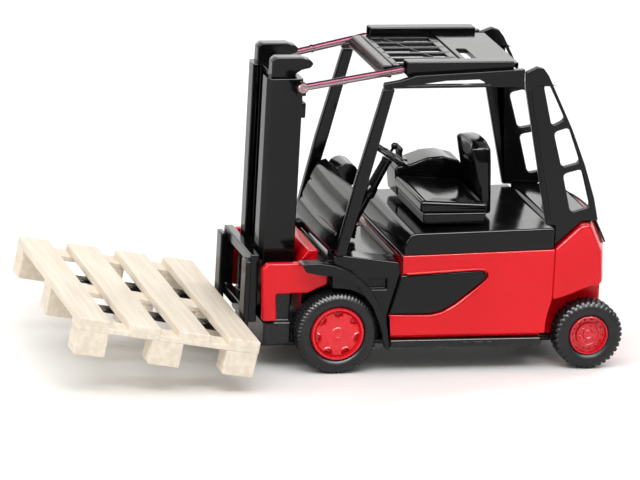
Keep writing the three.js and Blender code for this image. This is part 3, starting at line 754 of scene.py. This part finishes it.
# ---- pallet -------------------------------------------------------------------------------
def make_pallet():
    """Four deck boards on three bearers, each bearer on three blocks, in the pitched plane."""
    mount = next(m for m in RECORD["mounts"] if m["name"] == "pallet_load_face")
    pitch = math.atan2(-mount["axis"][0], mount["axis"][2])
    level = Matrix.Rotation(pitch, 4, "Y")
    corners = [level @ (v.co / MM) for v in frame["nodes"]["pallet"].data.vertices]
    low = Vector(min(c[k] for c in corners) for k in range(3))
    high = Vector(max(c[k] for c in corners) for k in range(3))
    boards, board_length, deck, bearer, block = 4, 4.5, 1.15, 0.7, 4.6
    spacing = (high.x - low.x - board_length) / (boards - 1)

    def grained(amount):
        def shape(p):
            swell = noise.noise(Vector((p.x * 0.9, p.y * 0.12, p.z * 0.9)))
            grain = noise.noise(Vector((p.x * 5.5, p.y * 0.3, p.z * 5.5)))
            return p + Vector((0.0, 0.0, amount * (0.6 * swell + 0.4 * grain) - amount))
        return shape

    bm = bmesh.new()
    for i in range(boards):
        x = low.x + i * spacing
        far_corner = (x + board_length, high.y, high.z)
        rounded_block(bm, (x, low.y, high.z - deck), far_corner, 0.2, 0.3, grained(0.06))
    for y in (low.y, -2.0, high.y - 4.0):
        rounded_block(
            bm, (low.x, y, high.z - deck - bearer), (high.x, y + 4.0, high.z - deck + 0.1), 0.18, 1.2,
        )
        for x in (low.x, (low.x + high.x - block) / 2, high.x - block):
            rounded_block(
                bm, (x + 0.05, y + 0.05, low.z), (x + block - 0.05, y + 3.95, high.z - deck - bearer + 0.1),
                0.25, 0.8,
            )
    bmesh.ops.transform(bm, matrix=level.inverted(), verts=bm.verts)
    publish(bm, "pallet_boards", "pallet", smooth=50)


# ---- wheels -------------------------------------------------------------------------------
def wheel_facts(end, side):
    low, high = box_mm(f"{end}_tyre_{side}")
    rim_low, rim_high = box_mm(f"{end}_rim_{side}")
    sign = SIDES[side]
    return {
        "x": (low.x + high.x) / 2,
        "z": (low.z + high.z) / 2,
        "radius": (high.z - low.z) / 2,
        "rim": (rim_high.z - rim_low.z) / 2,
        "outer": max(abs(low.y), abs(high.y)),
        "inner": min(abs(low.y), abs(high.y)),
        "sign": sign,
    }


def zigzag(turns):
    """A wave between 0 and 1 that rises and falls in straight lines."""
    t = turns % 1
    return 2 * t if t < 0.5 else 2 - 2 * t


def make_tyre(end, side, teeth, per_tooth, tread):
    """tread(share across the tread, tooth count) gives how deep the rubber is cut there."""
    w = wheel_facts(end, side)
    seat = w["rim"] - 0.02
    depth = w["radius"] - seat
    inner, outer, radius = w["inner"], w["outer"], w["radius"]
    width = outer - inner
    wall = [
        (seat, outer - 0.75, 0), (seat + 0.05, outer - 0.42, 0), (seat + 0.18 * depth, outer - 0.16, 0),
        (seat + 0.36 * depth, outer - 0.02, 0), (seat + 0.52 * depth, outer, 0),
        (seat + 0.68 * depth, outer - 0.08, 0), (seat + 0.78 * depth, outer - 0.2, 0.35),
        (seat + 0.88 * depth, outer - 0.3, 0.7), (radius - 0.1, outer - 0.42, 1), (radius, outer - 0.62, 1),
    ]
    across = 12
    crown = [
        (radius, outer - 0.62 - (width - 1.1) * k / across, 1) for k in range(1, across)
    ]
    back = [
        (radius, inner + 0.48, 1), (radius - 0.12, inner + 0.3, 1), (seat + 0.7 * depth, inner + 0.05, 0),
        (seat + 0.4 * depth, inner, 0), (seat, inner, 0),
    ]
    profile = wall + crown + back
    count = teeth * per_tooth
    rows = []
    for i in range(count):
        a = 2 * math.pi * i / count
        row = []
        for r, y, weight in profile:
            share = (outer - y) / width
            r -= weight * tread(share, i / per_tooth)
            row.append(Vector((w["x"] + r * math.cos(a), w["sign"] * y, w["z"] + r * math.sin(a))))
        rows.append(row)
    bm = bmesh.new()
    surface_grid(bm, rows)
    publish(bm, f"{end}_tyre_{side}_rubber", f"{end}_tyre_{side}", smooth=42)


def fine_tread(share, tooth):
    """Close zig-zag ribs."""
    shift = 0.5 * zigzag(share * 3.5)
    return 0.17 * step(zigzag(tooth + shift), 0.5, 0.5)


def block_tread(share, tooth):
    """Chunky lugs, staggered from one row to the next, with a groove between the rows."""
    row = 0 if share < 0.38 else (1 if share < 0.66 else 2)
    gap = step(zigzag(tooth + 0.5 * (row % 2)), 0.62, 0.2)
    groove = max(1 - abs(share - edge) / 0.05 for edge in (0.38, 0.66))
    return 0.22 * max(gap, min(max(groove, 0), 1))


def relief_disc(w, height, rings, segments):
    """A turned disc whose outer face is a moulded relief; height(radius, angle) is its level."""
    radius, back = w["rim"] - 0.02, w["inner"] + 0.3
    radii = [radius * (k / rings) for k in range(1, rings + 1)]

    def place(r, a, y):
        return Vector((w["x"] + r * math.cos(a), w["sign"] * y, w["z"] + r * math.sin(a)))

    bm = bmesh.new()
    angles = [2 * math.pi * i / segments for i in range(segments)]
    rows = [[place(r, a, w["outer"] + height(r, a)) for a in angles] for r in radii]
    rows.append([place(radius, a, w["outer"] - 0.6) for a in angles])
    rows.append([place(radius, a, back) for a in angles])
    made = surface_grid(bm, rows, closed_rows=False)
    bm.faces.new(made[-1])
    centre = bm.verts.new(place(0, 0, w["outer"] + height(0, 0)))
    for i in range(segments):
        bm.faces.new((centre, made[0][i], made[0][(i + 1) % segments]))
    return bm


def front_rim_height(rim):
    """Raised lip, dished disc, seven half-moon hand holes and a plain centre boss."""
    holes, seat_radius, hole_radius = 7, rim * 0.80, 0.62

    def height(r, a):
        level = -0.52 + 0.10 * (1 - (r / rim) ** 2)
        channel = step(r, rim * 0.83, 0.14) - step(r, rim * 0.885, 0.14)
        level -= 0.28 * channel
        level += (0.37 + 0.02) * step(r, rim * 0.885, 0.16)
        level -= 0.22 * step(r, rim * 0.975, 0.10)
        nearest = round((a / (2 * math.pi) - 0.25) * holes) / holes * 2 * math.pi + math.pi / 2
        along, aside = r * math.cos(a - nearest), r * math.sin(a - nearest)
        reach = math.hypot(seat_radius - along, aside)
        inside = 1 - step(reach, hole_radius, 0.12)
        bead = math.exp(-(((reach - hole_radius - 0.1) / 0.1) ** 2))
        open_side = 1 - step(along, seat_radius, 0.10)
        level -= 0.62 * inside * open_side
        level += 0.16 * bead * open_side
        level += 0.16 * (1 - step(r, rim * 0.235, 0.12))
        level -= 0.10 * (1 - step(r, rim * 0.13, 0.10))
        return level

    return height


def rear_rim_height(rim):
    """Raised lip, a ring of round studs, an inner ring, wheel nuts and a hub cap."""
    studs, nuts = 14, 6

    def around(r, a, count, ring, phase=0.0):
        nearest = (round((a / (2 * math.pi) + phase) * count) / count - phase) * 2 * math.pi
        return math.hypot(r * math.cos(a - nearest) - ring, r * math.sin(a - nearest))

    def height(r, a):
        level = -1.0
        level += 0.85 * step(r, rim * 0.90, 0.12)
        level -= 0.18 * step(r, rim * 0.98, 0.08)
        level += 0.24 * (1 - step(around(r, a, studs, rim * 0.755), 0.14, 0.10))
        inner = 1 - step(r, rim * 0.62, 0.12)
        level += 0.50 * inner
        level -= 0.26 * (1 - step(r, rim * 0.53, 0.12))
        level += 0.20 * (1 - step(around(r, a, nuts, rim * 0.41, 0.04), 0.15, 0.08))
        level += 0.34 * (1 - step(r, rim * 0.26, 0.10))
        level -= 0.12 * (1 - step(r, rim * 0.15, 0.10))
        return level

    return height


RIM_MATERIALS = {
    "front": MATERIALS["rim_plastic"],
    # The rear rims take a darker copy of the rim plastic: painted shade for their dished faces, which sit
    # in shadow.
    "rear": finish_material(
        "rear_rim_shaded_plastic", (0.66, 0.006, 0.020), (0.52, 0.004, 0.013), (0.16, 0.26),
        [ORANGE_PEEL, MOULD_TEXTURE], Specular_IOR_Level=0.5,
    ),
}


def make_wheels():
    for side in SIDES:
        make_tyre("front", side, 64, 6, fine_tread)
        make_tyre("rear", side, 38, 8, block_tread)
        for end, make_height in (("front", front_rim_height), ("rear", rear_rim_height)):
            w = wheel_facts(end, side)
            bm = relief_disc(w, make_height(w["rim"]), 56, 210)
            node = f"{end}_rim_{side}"
            publish(bm, f"{node}_moulding", node, smooth=60, material=RIM_MATERIALS[end])
    for end in ("front", "rear"):
        low, high = box_mm(f"{end}_axle")
        middle, radius = (low + high) / 2, (high.z - low.z) / 2
        reach = high.y - low.y
        start = Vector((middle.x, low.y, middle.z))
        axes = (start, Vector((0, 1, 0)), Vector((1, 0, 0)), Vector((0, 0, 1)))
        bm = bmesh.new()
        ends = [(radius - 0.2, 0), (radius, 0.2), (radius, reach - 0.2), (radius - 0.2, reach)]
        turned(bm, axes, ends, 32)
        publish(bm, f"{end}_axle_metal", f"{end}_axle")


def make_floor():
    bm = bmesh.new()
    bmesh.ops.create_grid(bm, x_segments=8, y_segments=8, size=4)
    mesh = bpy.data.meshes.new("floor")
    bm.to_mesh(mesh)
    bm.free()
    mesh.materials.append(FLOOR)
    floor = bpy.data.objects.new("floor", mesh)
    bpy.context.scene.collection.objects.link(floor)


aim_camera()
bpy.context.scene.view_settings.view_transform = "Standard"
light_world()
soft_light("ceiling", (0.05, 0.10, 0.75), (0, 0, 0.02), 0.9, 0.6, 1.2)
soft_light("key_strip", (0.12, 0.42, 0.62), (0, 0, 0.02), 0.75, 0.06, 2.2)
soft_light("front_strip", (0.62, 0.16, 0.34), (0, 0, 0.02), 0.05, 0.42, 1.0)
soft_light("rear_strip", (-0.50, -0.22, 0.46), (0, 0, 0.02), 0.06, 0.5, 1.1)
soft_light("edge_card", (0.0, 0.34, 0.62), (0, 0, 0.02), 1.2, 0.34, 34.0, gloss_only=True)
soft_light("back_card", (0.0, -0.80, 0.24), (0, 0, 0.03), 1.7, 0.34, 2.4, gloss_only=True)
soft_light("front_card", (0.70, 0.20, 0.36), (0, 0, 0.02), 0.22, 0.5, 3.4, gloss_only=True)
make_floor()
make_castings()
make_tail_cover()
mask_shell_front()
make_mast_columns()
make_roof_grid()
panel_lips()
post_ribs()
sill_lugs()
step_studs()
make_hood()
make_seat()
make_column()
make_steering_wheel()
make_levers()
make_tilt_rods()
make_mast_pin()
make_pallet()
make_wheels()
